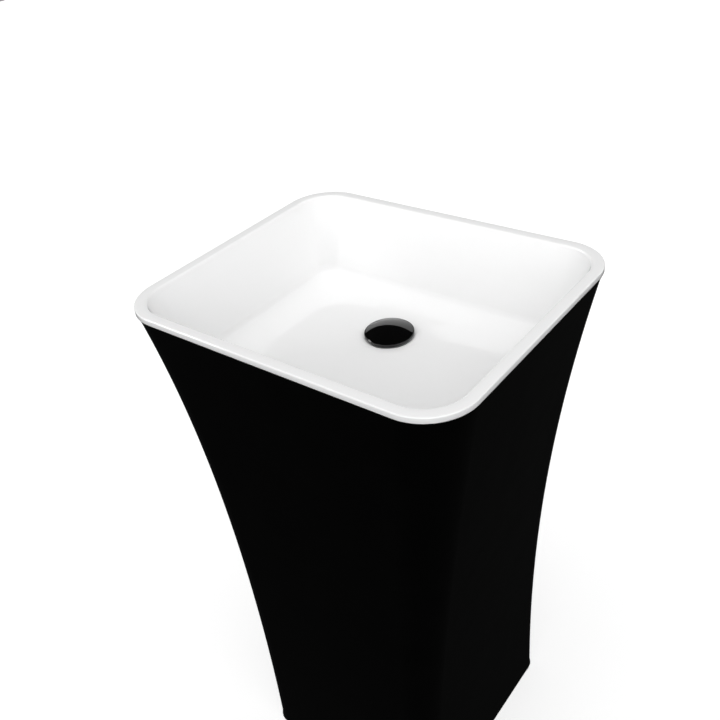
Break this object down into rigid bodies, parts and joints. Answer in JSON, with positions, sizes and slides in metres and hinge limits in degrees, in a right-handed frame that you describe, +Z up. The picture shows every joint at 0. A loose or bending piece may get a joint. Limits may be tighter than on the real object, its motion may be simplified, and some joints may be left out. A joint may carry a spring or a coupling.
{
  "type": "pedestal sink",
  "caption": "Freestanding pedestal sink: white bowl with a thin lip on a black flared hollow shell, with press-open waste cap and bottle trap.",
  "frame": {"origin": "centre of the base, on the floor", "axes": "+Z up, -Y the front, +Y the side that stands to the wall"},
  "size_m": [0.5, 0.42, 0.85],
  "materials": {
    "white_gelcoat": "glossy white",
    "black_gelcoat": "satin black",
    "black_enamel": "gloss black lacquer",
    "bonding_paste": "matt",
    "black_rubber": "matt",
    "chromed_brass": "polished chrome plate",
    "bare_brass": "machined",
    "zinc_steel": "zinc plated",
    "spring_steel": "drawn wire",
    "white_plastic": "moulded"
  },
  "bodies": {
    "sink": {"basin": "white_gelcoat", "pedestal_shell": "black_gelcoat", "rim_bond": "bonding_paste", "floor_seal": "black_rubber", "floor_bracket_left": "zinc_steel", "floor_bracket_right": "zinc_steel", "threaded_insert_left_1": "bare_brass", "threaded_insert_left_2": "bare_brass", "threaded_insert_right_1": "bare_brass", "threaded_insert_right_2": "bare_brass", "bracket_screw_left_1": "zinc_steel", "bracket_screw_left_2": "zinc_steel", "bracket_screw_right_1": "zinc_steel", "bracket_screw_right_2": "zinc_steel", "flange_seal": "black_rubber", "waste_body": "chromed_brass", "under_seal": "black_rubber", "slip_washer": "white_plastic", "backnut": "chromed_brass", "click_housing": "bare_brass", "click_collar": "white_plastic", "click_spring": "spring_steel", "inlet_washer": "black_rubber", "inlet_pipe": "chromed_brass", "inlet_nut": "chromed_brass", "top_washer": "black_rubber", "top_nut": "chromed_brass", "trap_body": "chromed_brass", "outlet_washer": "black_rubber", "outlet_nut": "chromed_brass", "outlet_pipe": "chromed_brass", "wall_rosette": "chromed_brass"},
    "cap": {"waste_cap": "black_enamel", "cap_stem": "bare_brass", "cap_seal": "black_rubber"},
    "cup": {"trap_cup": "chromed_brass", "cup_seal": "black_rubber"}
  },
  "joints": [
    {"name": "cap_click", "type": "slide", "parent": "sink", "child": "cap", "axis": [0, 0, 1], "range_m": [0, 0.008], "deforming": ["click_spring"]},
    {"name": "cup_unscrew", "type": "slide", "parent": "sink", "child": "cup", "axis": [0, 0, -1], "range_m": [0, 0.09]}
  ]
}
